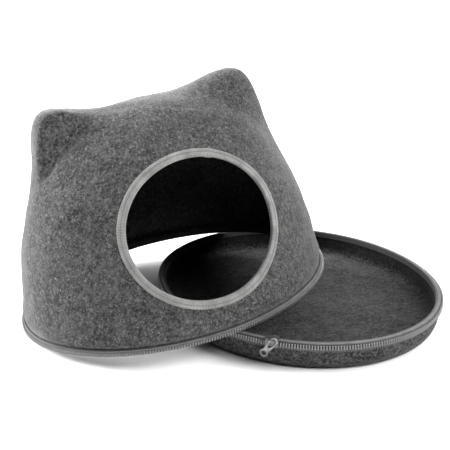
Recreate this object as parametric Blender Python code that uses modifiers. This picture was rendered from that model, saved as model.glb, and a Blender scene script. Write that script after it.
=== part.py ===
"""Felt cat cave, unzipped: the eared cover leans with its hem on the floor and on the felt tray.

Metres, +Z up. The origin is the centre of the tray's underside, which rests on the floor, and the
cover's round door faces -Y. The cover is modelled upright in its own frame, with its ears along X and
the edge of its hem at Z = 0, and is then tilted and set down beside the tray.
"""
import math

import bmesh
import bpy
from mathutils import Matrix, Vector

MM = 0.001

# Cloth, and the clear space between two pieces
FELT = 4.5 * MM
TAPE = 0.8 * MM
CLEAR = 0.3 * MM
TEETH = 1.4 * MM

# The oval that the cover's hem and the tray's rim share, as half lengths
OVAL_LONG = 205.0 * MM
OVAL_SHORT = 178.4 * MM
COLUMNS = 56
HALF_DOOR_COLUMNS = 30

# Tray
TRAY_TURN = math.radians(-63.6)
RIM = 34.0 * MM

# Cover: its height, how its plan narrows towards the crown, and where the crown lies
HEM_TURN = math.radians(8.0)
BAND = 14.0 * MM
CROWN = 253.0 * MM
ROWS = 16
NARROW_X = 0.28
NARROW_Y = 0.21
NARROW_POWER = 1.3
ROUND_X = 4.44
ROUND_Y = 2.48
CROWN_X = 4.0 * MM
CROWN_Y = 11.7 * MM

# Ears: where the middle of each lies, the way it points, how far it rises, and its reach to each side
EAR_X = 159.4 * MM
EAR_Y = 7.7 * MM
EAR_Z = 303.5 * MM
EAR_AIM = (0.488, 0.05, 0.827)
EAR_RISE = 49.6 * MM
EAR_WIDE = 52.2 * MM
EAR_FRONT = 30.3 * MM
EAR_BACK = 53.0 * MM
CREASE = 7.0 * MM
CREASE_AT = 1.35
CREASE_WIDE = 0.4
CREASE_EDGE = 8.0 * MM

# Door: the cut in the felt, as half lengths, and its binding
DOOR_X = -1.5 * MM
DOOR_Z = 122.0 * MM
DOOR_LEAN = math.radians(9.7)
DOOR_TURN = math.radians(9.0)
DOOR_HALF_WIDE = 91.2 * MM
DOOR_HALF_HIGH = 79.3 * MM
DOOR_LEG = 9.5 * MM
DOOR_REACH = 90.0 * MM

# The hem's lean: its lower edge turns in at the front and back and stands upright where it lies down
LEAN_MEAN = math.radians(6.3)
LEAN_SWING = math.radians(13.8)
LEAN_FRONT = math.radians(-110.0)
LEAN_FADE = 0.22

# Where the cover lies: its tilt, the side that is lifted, its turn, and the middle of its hem
TILT = math.radians(7.84)
LIFTED_SIDE = math.radians(4.5)
EAR_LINE = math.radians(25.2)
COVER_X = -161.5 * MM
COVER_Y = -10.4 * MM
COVER_Z = 27.35 * MM

# Slider on the tray's half of the zip, in the rim's frame: along, outward, up
SLIDER_AZIMUTH = math.radians(-102.6)
SLIDER_LONG = 16.0 * MM
SLIDER_PLATE = 1.1 * MM
SLIDER_ROUND = 0.5 * MM
ARCH_RADIUS = 4.2 * MM
ARCH_WIRE = 0.8 * MM
ARCH_LEVEL = -2.0 * MM

# Pull: its eye, its bar and its ring, and the way it hangs
EYE_RADIUS = 3.5 * MM
EYE_WIRE = 0.7 * MM
EYE_CENTRE = (-3.0 * MM, 6.85 * MM, -2.75 * MM)
BAR_LONG = 17.0 * MM
BAR_WIDE = 6.2 * MM
BAR_THICK = 1.2 * MM
RING_RADIUS = 4.2 * MM
RING_WIRE = 0.9 * MM
PULL_AIM = (0.69, -0.07, -0.72)

BIND_OUT = CLEAR + TAPE
ZIP_IN = BIND_OUT + CLEAR
ZIP_OUT = ZIP_IN + TAPE
TEETH_IN = ZIP_IN + TAPE + CLEAR
TEETH_OUT = TEETH_IN + TEETH

# How deep the binding's legs and the zip's tapes reach from the felt's edge
OUTER_LEG = 7.2 * MM
INNER_LEG = 7.0 * MM
HEM_TAPE = 10.8 * MM
RIM_TAPE = 8.0 * MM

# Each section below is a ring of corners: how far outside the felt's face, and how deep from its edge
BINDING_SECTION = [
    {"out": BIND_OUT, "deep": OUTER_LEG},
    {"out": BIND_OUT, "deep": -BIND_OUT},
    {"out": -FELT - BIND_OUT, "deep": -BIND_OUT},
    {"out": -FELT - BIND_OUT, "deep": INNER_LEG},
    {"out": -FELT - CLEAR, "deep": INNER_LEG},
    {"out": -FELT - CLEAR, "deep": -CLEAR},
    {"out": CLEAR, "deep": -CLEAR},
    {"out": CLEAR, "deep": OUTER_LEG},
]
TAPE_SIDES = [
    {"out": ZIP_IN, "lower": True},
    {"out": ZIP_OUT, "lower": True},
    {"out": ZIP_OUT, "lower": False},
    {"out": ZIP_IN, "lower": False},
]
TEETH_SECTION = [
    {"out": TEETH_IN, "deep": 5.4 * MM},
    {"out": TEETH_OUT, "deep": 5.4 * MM},
    {"out": TEETH_OUT, "deep": 0.6 * MM},
    {"out": TEETH_IN, "deep": 0.6 * MM},
]
# The tray's wall: outside from the flat underside to the rim, then inside down to the floor
TRAY_SECTION = [
    {"out": -11.0 * MM, "up": 0.0},
    {"out": -5.6 * MM, "up": 2.2 * MM},
    {"out": -2.2 * MM, "up": 7.0 * MM},
    {"out": 0.0, "up": 18.0 * MM},
    {"out": 0.0, "up": RIM},
    {"out": -FELT, "up": RIM},
    {"out": -FELT, "up": 18.3 * MM},
    {"out": -6.6 * MM, "up": 8.6 * MM},
    {"out": -9.2 * MM, "up": 5.6 * MM},
    {"out": -13.0 * MM, "up": FELT},
]
# Blocks of the slider: along the rim from its middle, outward from the felt, and up from the rim
SLIDER_BLOCK = {
    "long": SLIDER_LONG,
    "out": (0.2 * MM, TEETH_OUT + CLEAR + SLIDER_PLATE),
    "up": (-6.9 * MM, 5.0 * MM),
}
SLIDER_CHANNELS = [
    {"out": (-3.0 * MM, TEETH_OUT + CLEAR), "up": (-5.8 * MM, BIND_OUT + CLEAR)},
    {"out": (-3.0 * MM, ZIP_OUT + CLEAR), "up": (-9.0 * MM, -5.0 * MM)},
]


def tape_section(reach):
    """Section of a zip tape that reaches a given depth from the felt's edge."""
    return [{"out": side["out"], "deep": reach if side["lower"] else TAPE} for side in TAPE_SIDES]


def remove_all_objects():
    """Empty the scene."""
    for item in list(bpy.data.objects):
        bpy.data.objects.remove(item, do_unlink=True)


def make_collection(name):
    """Make a collection under the scene's own."""
    made = bpy.data.collections.new(name)
    bpy.context.scene.collection.children.link(made)
    return made


def make_material(name, colour, roughness, metallic):
    """Make a plain Principled material."""
    made = bpy.data.materials.new(name)
    made.use_nodes = True
    shader = made.node_tree.nodes["Principled BSDF"]
    shader.inputs["Base Color"].default_value = (*colour, 1.0)
    shader.inputs["Roughness"].default_value = roughness
    shader.inputs["Metallic"].default_value = metallic
    return made


def object_from(name, bm, collection, material=None):
    """Turn a bmesh into an object in a collection, with its faces turned outward."""
    bm.normal_update()
    bmesh.ops.recalc_face_normals(bm, faces=bm.faces)
    mesh = bpy.data.meshes.new(name)
    bm.to_mesh(mesh)
    bm.free()
    if material is not None:
        mesh.materials.append(material)
        mesh.shade_smooth()
        mesh.set_sharp_from_angle(angle=math.radians(40.0))
    made = bpy.data.objects.new(name, mesh)
    collection.objects.link(made)
    return made


def mark_cutter(item):
    """Keep a cutter or guide out of the model."""
    item.hide_render = True
    item.display_type = "WIRE"
    return item


def oval(azimuth, turn):
    """Point of the shared oval along an azimuth, and the way straight out from it."""
    own = azimuth - turn
    reach = OVAL_LONG * OVAL_SHORT / math.hypot(OVAL_SHORT * math.cos(own), OVAL_LONG * math.sin(own))
    out = turn + math.atan2(math.sin(own) / OVAL_SHORT ** 2, math.cos(own) / OVAL_LONG ** 2)
    point = Vector((reach * math.cos(azimuth), reach * math.sin(azimuth), 0.0))
    return point, Vector((math.cos(out), math.sin(out), 0.0))


def tray_point(azimuth, out, up):
    """Point of the tray at a distance outside its rim's oval and a height above the floor."""
    edge, outward = oval(azimuth, TRAY_TURN)
    return edge + outward * out + Vector((0.0, 0.0, up))


def rim_point(azimuth, corner):
    """Place a corner of a section on the tray's rim."""
    return tray_point(azimuth, corner["out"], RIM - corner["deep"])


def tray_wall_point(azimuth, corner):
    """Place a corner of the tray's own section."""
    return tray_point(azimuth, corner["out"], corner["up"])


COVER_POSE = (
    Matrix.Translation((COVER_X, COVER_Y, COVER_Z))
    @ Matrix.Rotation(LIFTED_SIDE, 4, "Z")
    @ Matrix.Rotation(-TILT, 4, "Y")
    @ Matrix.Rotation(EAR_LINE - LIFTED_SIDE, 4, "Z")
)


def hem_point_upright(azimuth, out, deep):
    """Point of the leaning hem band in the cover's own frame."""
    edge, outward = oval(azimuth, HEM_TURN)
    lean = LEAN_MEAN + LEAN_SWING * math.cos(2.0 * (azimuth - LEAN_FRONT))
    sideways = out * math.cos(lean) + deep * math.sin(lean)
    upward = deep * math.cos(lean) - out * math.sin(lean)
    return edge + outward * sideways + Vector((0.0, 0.0, upward))


def floor_lift(azimuth):
    """How far the floor presses the hem up at an azimuth."""
    corners = [COVER_POSE @ hem_point_upright(azimuth, c["out"], c["deep"]) for c in BINDING_SECTION]
    return max(0.0, -min(corner.z for corner in corners))


def hem_point(azimuth, corner):
    """Place a corner of a section on the cover's hem."""
    point = COVER_POSE @ hem_point_upright(azimuth, corner["out"], corner["deep"])
    point.z += floor_lift(azimuth)
    return point


def raise_ear(point, side):
    """Push the cover's surface out into one ear, with the crease in front of its root."""
    aim = Vector((side * EAR_AIM[0], EAR_AIM[1], EAR_AIM[2])).normalized()
    across = Vector((-side * aim.z, 0.0, side * aim.x)).normalized()
    away = point - Vector((side * EAR_X, EAR_Y, EAR_Z))
    depth = away.y / (EAR_FRONT if away.y < 0.0 else EAR_BACK)
    rho = math.hypot(away.dot(across) / EAR_WIDE, depth)
    in_front = 1.0 / (1.0 + math.exp(away.y / CREASE_EDGE))
    crease = CREASE * in_front * math.exp(-((rho - CREASE_AT) / CREASE_WIDE) ** 2)
    return point + aim * (EAR_RISE * math.exp(-rho ** 2) - crease)


def cover_point(azimuth, row):
    """Place a point of the cover's outer face; row 0 is the hem's edge and the last row the crown."""
    if row == 0:
        return hem_point(azimuth, {"out": 0.0, "deep": 0.0})
    edge, outward = oval(azimuth, HEM_TURN)
    part = (row - 1) / (ROWS - 1)
    rise = math.sin(part * math.pi / 2.0)
    narrow_x = (1.0 - NARROW_X * rise ** NARROW_POWER) * math.sqrt(max(0.0, 1.0 - rise ** ROUND_X))
    narrow_y = (1.0 - NARROW_Y * rise ** NARROW_POWER) * math.sqrt(max(0.0, 1.0 - rise ** ROUND_Y))
    height = BAND + (CROWN - BAND) * rise
    point = Vector((edge.x * narrow_x + CROWN_X * rise, edge.y * narrow_y + CROWN_Y * rise, height))
    fade = max(0.0, 1.0 - part / LEAN_FADE) ** 2
    leaned = hem_point_upright(azimuth, 0.0, BAND) - edge - Vector((0.0, 0.0, BAND))
    point = raise_ear(raise_ear(point + leaned * fade, -1.0), 1.0)
    point = COVER_POSE @ point
    point.z += floor_lift(azimuth) * fade
    return point


def placed_tube(name, section, place, collection, material, closed):
    """Carry a section once round an oval: a circle extruded corner by corner, then placed."""
    bm = bmesh.new()
    bmesh.ops.create_circle(bm, segments=COLUMNS, radius=1.0, cap_ends=not closed)
    first = list(bm.edges)
    loop = first
    for step in range(1, len(section)):
        made = bmesh.ops.extrude_edge_only(bm, edges=loop)["geom"]
        verts = [g for g in made if isinstance(g, bmesh.types.BMVert)]
        loop = [g for g in made if isinstance(g, bmesh.types.BMEdge)]
        bmesh.ops.translate(bm, verts=verts, vec=(0.0, 0.0, 1.0))
    if closed:
        bmesh.ops.bridge_loops(bm, edges=first + loop)
    else:
        bmesh.ops.contextual_create(bm, geom=loop)
    for vert in bm.verts:
        azimuth = column_azimuth(vert.co)
        vert.co = place(azimuth, section[round(vert.co.z)])
    return object_from(name, bm, collection, material)


def column_azimuth(position):
    """Azimuth of the column that a point of the unit circle or sphere stands on."""
    step = 2.0 * math.pi / COLUMNS
    return step * round(math.atan2(position.y, position.x) / step)


def cover_surface(name, thickness, outside, collection, material=None):
    """The cover's face as the upper half of a sphere, placed row by row, with thickness."""
    bm = bmesh.new()
    bmesh.ops.create_uvsphere(bm, u_segments=COLUMNS, v_segments=2 * ROWS, radius=1.0)
    half_row = math.sin(math.pi / (4.0 * ROWS))
    below = [vert for vert in bm.verts if vert.co.z < -half_row]
    bmesh.ops.delete(bm, geom=below, context="VERTS")
    for vert in bm.verts:
        row = round(2.0 * ROWS / math.pi * math.asin(max(-1.0, min(1.0, vert.co.z))))
        vert.co = cover_point(column_azimuth(vert.co), row)
    made = object_from(name, bm, collection, material)
    shell = made.modifiers.new("Thickness", "SOLIDIFY")
    shell.thickness = thickness
    shell.offset = 2.0 * outside / thickness - 1.0
    shell.use_even_offset = True
    shell.use_quality_normals = True
    return made


def door_cylinder(name, grow, collection):
    """Oval cylinder through the door, larger than its cut by a margin."""
    bm = bmesh.new()
    bmesh.ops.create_cone(
        bm, cap_ends=True, segments=2 * HALF_DOOR_COLUMNS, radius1=1.0, radius2=1.0, depth=2.0 * DOOR_REACH
    )
    rise = DOOR_Z / CROWN
    front = -OVAL_SHORT * (1.0 - NARROW_Y * rise ** NARROW_POWER) * math.sqrt(1.0 - rise ** ROUND_Y)
    centre = Vector((DOOR_X, front + CROWN_Y * rise, DOOR_Z))
    pose = (
        COVER_POSE
        @ Matrix.Translation(centre)
        @ Matrix.Rotation(math.pi / 2.0 - DOOR_LEAN, 4, "X")
        @ Matrix.Rotation(DOOR_TURN, 4, "Z")
        @ Matrix.Diagonal((DOOR_HALF_WIDE + grow, DOOR_HALF_HIGH + grow, 1.0, 1.0))
    )
    bm.transform(pose)
    return mark_cutter(object_from(name, bm, collection))


def add_boolean(item, cutter, operation):
    """Cut, join or keep the common part with another object."""
    made = item.modifiers.new(cutter.name, "BOOLEAN")
    made.operation = operation
    made.solver = "EXACT"
    made.object = cutter


def box_between(name, long, out, up, frame, collection, material=None, round_by=0.0):
    """Box in the rim's frame, from its length and its limits outward and upward."""
    bm = bmesh.new()
    bmesh.ops.create_cube(bm, size=1.0)
    size = Matrix.Diagonal((long, out[1] - out[0], up[1] - up[0], 1.0))
    middle = Matrix.Translation((0.0, (out[0] + out[1]) / 2.0, (up[0] + up[1]) / 2.0))
    bm.transform(middle @ size)
    if round_by:
        bmesh.ops.bevel(bm, geom=bm.edges, offset=round_by, segments=2, profile=0.5, affect="EDGES")
    bm.transform(frame)
    return object_from(name, bm, collection, material)


def wire_ring(name, radius, wire, pose, collection, around=20, across=8):
    """Closed ring of round wire, as a circular section carried round."""
    bm = bmesh.new()
    section = bmesh.ops.create_circle(bm, segments=across, radius=wire)["verts"]
    bmesh.ops.transform(
        bm, verts=section, matrix=Matrix.Translation((radius, 0.0, 0.0)) @ Matrix.Rotation(math.pi / 2.0, 4, "X")
    )
    bmesh.ops.spin(
        bm, geom=bm.verts[:] + bm.edges[:], cent=(0.0, 0.0, 0.0), axis=(0.0, 0.0, 1.0),
        angle=2.0 * math.pi, steps=around, use_merge=True,
    )
    bmesh.ops.remove_doubles(bm, verts=bm.verts, dist=0.01 * MM)
    bm.transform(pose)
    return mark_cutter(object_from(name, bm, collection))


def rim_frame(azimuth):
    """Frame on the felt's outer top edge: X along the rim, Y outward, Z up."""
    edge, outward = oval(azimuth, TRAY_TURN)
    along = outward.cross(Vector((0.0, 0.0, 1.0)))
    turned = Matrix((along, outward, Vector((0.0, 0.0, 1.0)))).transposed().to_4x4()
    return Matrix.Translation(edge + Vector((0.0, 0.0, RIM))) @ turned


def build_slider(parts, cutters, material):
    """The slider's body with the channel that the teeth run in, and the arch that holds its pull."""
    frame = rim_frame(SLIDER_AZIMUTH)
    body = box_between(
        "zip_slider", SLIDER_BLOCK["long"], SLIDER_BLOCK["out"], SLIDER_BLOCK["up"], frame, parts, material, SLIDER_ROUND
    )
    for number, channel in enumerate(SLIDER_CHANNELS):
        cutter = box_between(
            f"slider_channel_{number}", 2.0 * SLIDER_LONG, channel["out"], channel["up"], frame, cutters
        )
        add_boolean(body, mark_cutter(cutter), "DIFFERENCE")
    pose = frame @ Matrix.Translation((0.0, SLIDER_BLOCK["out"][1] - CLEAR, ARCH_LEVEL))
    arch = wire_ring("slider_arch", ARCH_RADIUS, ARCH_WIRE, pose, cutters)
    half = box_between(
        "slider_arch_half", 4.0 * ARCH_RADIUS, (-4.0 * ARCH_RADIUS, SLIDER_BLOCK["out"][1] - 2.0 * CLEAR),
        (-4.0 * ARCH_RADIUS, 4.0 * ARCH_RADIUS), frame, cutters,
    )
    add_boolean(arch, mark_cutter(half), "DIFFERENCE")
    add_boolean(body, arch, "UNION")


def build_pull(parts, cutters, material):
    """The pull: an eye round the arch, a flat bar, and a ring at its end, in one piece."""
    frame = rim_frame(SLIDER_AZIMUTH)
    aim = Vector(PULL_AIM).normalized()
    face = Vector((0.0, 1.0, 0.0))
    side = face.cross(aim).normalized()
    face = aim.cross(side)
    turned = Matrix((aim, side, face)).transposed().to_4x4()
    pose = frame @ Matrix.Translation(EYE_CENTRE) @ turned
    eye = wire_ring("pull_eye", EYE_RADIUS, EYE_WIRE, pose, cutters)
    ring_pose = pose @ Matrix.Translation((BAR_LONG, 0.0, 0.0))
    ring = wire_ring("pull_ring", RING_RADIUS, RING_WIRE, ring_pose, cutters)
    bm = bmesh.new()
    bmesh.ops.create_cube(bm, size=1.0)
    start = EYE_RADIUS
    end = BAR_LONG - RING_RADIUS
    bm.transform(
        pose
        @ Matrix.Translation(((start + end) / 2.0, 0.0, 0.0))
        @ Matrix.Diagonal((end - start, BAR_WIDE, BAR_THICK, 1.0))
    )
    bar = object_from("zip_pull", bm, parts, material)
    add_boolean(bar, eye, "UNION")
    add_boolean(bar, ring, "UNION")


def main():
    """Build the cover, the tray, their bindings and the zip."""
    remove_all_objects()
    parts = make_collection("felt_cat_cave")
    cutters = make_collection("cutters")
    felt = make_material("felt", (0.115, 0.112, 0.110), 0.95, 0.0)
    binding = make_material("ribbed_binding", (0.30, 0.295, 0.29), 0.75, 0.0)
    tape = make_material("zip_tape", (0.27, 0.265, 0.26), 0.8, 0.0)
    teeth = make_material("zip_teeth", (0.24, 0.24, 0.24), 0.45, 0.0)
    metal = make_material("zip_metal", (0.62, 0.61, 0.59), 0.3, 1.0)

    cover = cover_surface("cover_felt", FELT, 0.0, parts, felt)
    add_boolean(cover, door_cylinder("door_cut", 0.0, cutters), "DIFFERENCE")

    clearance = cover_surface("felt_clearance", FELT + 2.0 * CLEAR, CLEAR, cutters)
    add_boolean(mark_cutter(clearance), door_cylinder("door_clearance", -CLEAR, cutters), "DIFFERENCE")
    band = cover_surface("door_binding", FELT + 2.0 * BIND_OUT, BIND_OUT, parts, binding)
    add_boolean(band, door_cylinder("door_band_outer", DOOR_LEG, cutters), "INTERSECT")
    add_boolean(band, door_cylinder("door_band_inner", -BIND_OUT, cutters), "DIFFERENCE")
    add_boolean(band, clearance, "DIFFERENCE")

    placed_tube("cover_hem_binding", BINDING_SECTION, hem_point, parts, binding, True)
    placed_tube("cover_zip_tape", tape_section(HEM_TAPE), hem_point, parts, tape, True)
    placed_tube("cover_zip_teeth", TEETH_SECTION, hem_point, parts, teeth, True)

    placed_tube("tray_felt", TRAY_SECTION, tray_wall_point, parts, felt, False)
    placed_tube("tray_rim_binding", BINDING_SECTION, rim_point, parts, binding, True)
    placed_tube("tray_zip_tape", tape_section(RIM_TAPE), rim_point, parts, tape, True)
    placed_tube("tray_zip_teeth", TEETH_SECTION, rim_point, parts, teeth, True)

    build_slider(parts, cutters, metal)
    build_pull(parts, cutters, metal)


main()
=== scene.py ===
"""Dress the felt cat cave.

The moulded felt cover and tray, their ribbed bindings, both halves of the unzipped zip with single teeth
and stitches, and the slider with its pull, in soft studio light on a pale floor.
"""
import logging
import math
from dataclasses import dataclass, field
from enum import Enum
from typing import Any, Callable, Sequence

import bmesh
import bpy
import numpy as np
from mathutils import Matrix, Vector
from mathutils.bvhtree import BVHTree


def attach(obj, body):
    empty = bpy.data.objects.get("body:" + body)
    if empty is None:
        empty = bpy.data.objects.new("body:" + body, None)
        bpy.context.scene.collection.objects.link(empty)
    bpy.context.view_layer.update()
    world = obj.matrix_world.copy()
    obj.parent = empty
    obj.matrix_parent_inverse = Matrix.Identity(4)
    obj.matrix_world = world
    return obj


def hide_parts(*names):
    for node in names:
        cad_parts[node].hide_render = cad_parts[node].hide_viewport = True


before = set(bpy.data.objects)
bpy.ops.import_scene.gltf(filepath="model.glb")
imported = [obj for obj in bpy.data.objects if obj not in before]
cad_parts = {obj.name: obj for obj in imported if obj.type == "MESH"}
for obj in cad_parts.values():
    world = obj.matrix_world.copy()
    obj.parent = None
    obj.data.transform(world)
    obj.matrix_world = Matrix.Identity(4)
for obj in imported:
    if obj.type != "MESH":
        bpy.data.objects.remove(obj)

Array = np.ndarray
Colour = tuple[float, float, float]
Path = Sequence[tuple[float, float]]
Span = tuple[float, float]

LOG = logging.getLogger("cat_cave")
MM = 0.001
FELT = 4.5 * MM
BODY = "root"


# ---------------------------------------------------------------- shader writing


class Sock:
    """A shader socket that can stand in a Python expression."""

    def __init__(self, graph: "Nodes", socket: bpy.types.NodeSocket) -> None:
        """Wrap an output socket of a graph's node."""
        self.graph = graph
        self.socket = socket

    def _math(self, operation: str, first: Any, second: Any = None) -> "Sock":
        """Add a Math node.

        Args:
            operation: the Math node's operation.
            first: its first value or link.
            second: its second value or link, where it takes one.

        Returns:
            The node's result.
        """
        values = {0: first} if second is None else {0: first, 1: second}
        return self.graph.node("ShaderNodeMath", {"operation": operation}, values)

    def __add__(self, other: Any) -> "Sock":
        """Sum."""
        return self._math("ADD", self, other)

    __radd__ = __add__

    def __mul__(self, other: Any) -> "Sock":
        """Product."""
        return self._math("MULTIPLY", self, other)

    __rmul__ = __mul__

    def __sub__(self, other: Any) -> "Sock":
        """Difference."""
        return self._math("SUBTRACT", self, other)

    def __rsub__(self, other: Any) -> "Sock":
        """Difference the other way round."""
        return self._math("SUBTRACT", other, self)

    def __truediv__(self, other: Any) -> "Sock":
        """Quotient."""
        return self._math("DIVIDE", self, other)

    def __pow__(self, other: Any) -> "Sock":
        """Power."""
        return self._math("POWER", self, other)

    def sine(self) -> "Sock":
        """Sine of the value in radians."""
        return self._math("SINE", self)

    def step(self, low: float, high: float) -> "Sock":
        """Smooth step from 0 at one value to 1 at the other.

        Args:
            low: where the step starts.
            high: where it is complete.

        Returns:
            A mask from 0 to 1.
        """
        return self.graph.node(
            "ShaderNodeMapRange",
            {"interpolation_type": "SMOOTHSTEP", "clamp": True},
            {"Value": self, "From Min": low, "From Max": high, "To Min": 0.0, "To Max": 1.0},
        )


class Nodes:
    """A node tree written by expressions."""

    def __init__(self, tree: bpy.types.NodeTree) -> None:
        """Write in a tree."""
        self.tree = tree

    def set(self, socket: bpy.types.NodeSocket, value: Any) -> None:
        """Link a socket to an expression, or set its constant.

        Args:
            socket: the input socket.
            value: an expression, a number, a vector or a colour.
        """
        if isinstance(value, Sock):
            self.tree.links.new(value.socket, socket)
        elif isinstance(value, tuple) and socket.type == "RGBA":
            socket.default_value = (*value, 1.0)[:4]
        else:
            socket.default_value = value

    def node(
        self,
        kind: str,
        settings: dict[str, Any] | None = None,
        sockets: dict[Any, Any] | None = None,
        out: int | str = 0,
    ) -> Sock:
        """Add any node.

        Args:
            kind: the node's type name.
            settings: its properties, set before its sockets.
            sockets: input sockets by name or number, each a value or a link.
            out: the output socket that is returned, by name or number.

        Returns:
            The chosen output.
        """
        made = self.tree.nodes.new(kind)
        for key, value in (settings or {}).items():
            setattr(made, key, value)
        for key, value in (sockets or {}).items():
            self.set(made.inputs[key], value)
        return Sock(self, made.outputs[out])


class Graph(Nodes):
    """A material with one Principled shader."""

    def __init__(self, name: str) -> None:
        """Start a material with an empty tree but for its shader and output.

        Args:
            name: the material's name.
        """
        self.material = bpy.data.materials.new(name)
        self.material.use_nodes = True
        super().__init__(self.material.node_tree)
        self.tree.nodes.clear()
        self.shader = self.tree.nodes.new("ShaderNodeBsdfPrincipled")
        output = self.tree.nodes.new("ShaderNodeOutputMaterial")
        self.tree.links.new(self.shader.outputs["BSDF"], output.inputs["Surface"])

    def principled(self, values: dict[str, Any]) -> None:
        """Set or link the Principled shader's sockets."""
        for key, value in values.items():
            self.set(self.shader.inputs[key], value)

    def place(self) -> Sock:
        """Object coordinates, in metres."""
        return self.node("ShaderNodeTexCoord", out="Object")

    def along_across(self) -> tuple[Sock, Sock]:
        """Read the piece's own UV map.

        Returns:
            The distances along a strip and across it, in metres.
        """
        both = self.node("ShaderNodeUVMap", {"uv_map": "strip"})
        split = self.node("ShaderNodeSeparateXYZ", None, {0: both}, "X")
        return split, Sock(self, split.socket.node.outputs["Y"])

    def noise(
        self, place: Sock, scale: float, detail: float = 2.0, rough: float = 0.5, twist: float = 0.0
    ) -> Sock:
        """Noise from 0 to 1 at a place.

        Args:
            place: the coordinates.
            scale: features per metre.
            detail: how many finer octaves are added.
            rough: how strong they are.
            twist: how far the pattern is distorted.

        Returns:
            The noise's factor.
        """
        return self.node(
            "ShaderNodeTexNoise",
            None,
            {"Vector": place, "Scale": scale, "Detail": detail, "Roughness": rough, "Distortion": twist},
        )

    def stretched(self, place: Sock, scale: Sequence[float], turn: tuple[float, float, float]) -> Sock:
        """Coordinates scaled along their axes after a turn.

        Args:
            place: the coordinates.
            scale: features per metre along each axis.
            turn: the turn about each axis, in radians.

        Returns:
            The new coordinates.
        """
        return self.node(
            "ShaderNodeMapping", {"vector_type": "TEXTURE"},
            {"Vector": place, "Rotation": turn, "Scale": tuple(1.0 / s for s in scale)},
        )

    def mix(self, mask: Any, first: Any, second: Any) -> Sock:
        """Colour between two, by a mask."""
        return self.node("ShaderNodeMix", {"data_type": "RGBA"}, {0: mask, 6: first, 7: second}, 2)

    def bump(self, height: Sock, distance: float, strength: float = 1.0) -> Sock:
        """Normal from a height from 0 to 1 and the depth that it stands for."""
        sockets = {"Height": height, "Distance": distance, "Strength": strength}
        return self.node("ShaderNodeBump", None, sockets, "Normal")


# ---------------------------------------------------------------- finishes


@dataclass(frozen=True)
class FeltFinish:
    """Thick pressed felt of light and dark wool, with streaks of fibre and a soft bloom.

    It reads the piece's own shade attribute: painted shade, the share of the wool's colour left where
    shade falls, darker on the cover's inner skin and inside the tray.
    """

    name: str
    dark: Colour = (0.0155, 0.0152, 0.0152)
    mid: Colour = (0.069, 0.068, 0.067)
    light: Colour = (0.17, 0.168, 0.165)
    fleck: float = 0.8
    sheen: float = 0.3
    streak: tuple[float, float, float] = (1.5, 1.5, 0.42)

    def build(self) -> bpy.types.Material:
        """Make the material.

        Returns:
            The material.
        """
        g = Graph(self.name)
        place = g.place()
        cloud = g.noise(place, 38.0, 3.0, 0.6)
        blotch = g.noise(place, 310.0, 2.0, 0.6, 0.8)
        laid = g.stretched(place, (820.0, 190.0, 420.0), (0.3, 0.5, 0.7))
        fibre = g.noise(laid, 1.0, 3.0, 0.65, 1.2)
        laid = g.stretched(place, (210.0, 640.0, 780.0), (0.9, -0.4, 0.2))
        cross = g.noise(laid, 1.0, 3.0, 0.65, 1.0)
        fine = g.noise(place, 1500.0, 2.0, 0.7, 0.6)
        laid = g.stretched(place, [240.0 * s for s in self.streak], (0.0, 0.0, 0.35))
        long = g.noise(laid, 1.0, 4.0, 0.7, 0.8)
        patch = g.noise(place, 110.0, 2.0, 0.5)
        tone = blotch * 0.32 + fibre * 0.19 + cross * 0.19 + long * 0.30
        tone = tone + (cloud - 0.5) * 0.12 + (patch - 0.5) * 0.16
        colour = g.mix(tone.step(0.40, 0.60), self.dark, self.mid)
        flecks = (fibre * 0.45 + fine * 0.15 + blotch * 0.4).step(0.53, 0.66) * (0.8 * self.fleck)
        colour = g.mix(flecks, colour, self.light)
        strands = (cross * 0.75 + fine * 0.25).step(0.58, 0.68) * (0.6 * self.fleck)
        colour = g.mix(strands, colour, self.light)
        salt = g.noise(place, 620.0, 1.0, 0.5).step(0.735, 0.80) * (0.9 * self.fleck)
        colour = g.mix(salt, colour, tuple(2.4 * c for c in self.light))
        # Painted shade: the shade attribute darkens the colour towards black inside the cover and the tray.
        shade = g.node("ShaderNodeAttribute", {"attribute_name": "shade"}, out="Fac")
        colour = g.mix(shade, (0.0, 0.0, 0.0), colour)
        height = fibre * 0.3 + cross * 0.25 + fine * 0.2 + blotch * 0.25
        g.principled({
            "Base Color": colour,
            "Roughness": 1.0,
            "Specular IOR Level": 0.1,
            "Sheen Weight": self.sheen,
            "Sheen Roughness": 0.35,
            "Sheen Tint": (0.92, 0.92, 0.94),
            "Normal": g.bump(height, 1.1 * MM, 0.85),
        })
        return g.material


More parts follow.
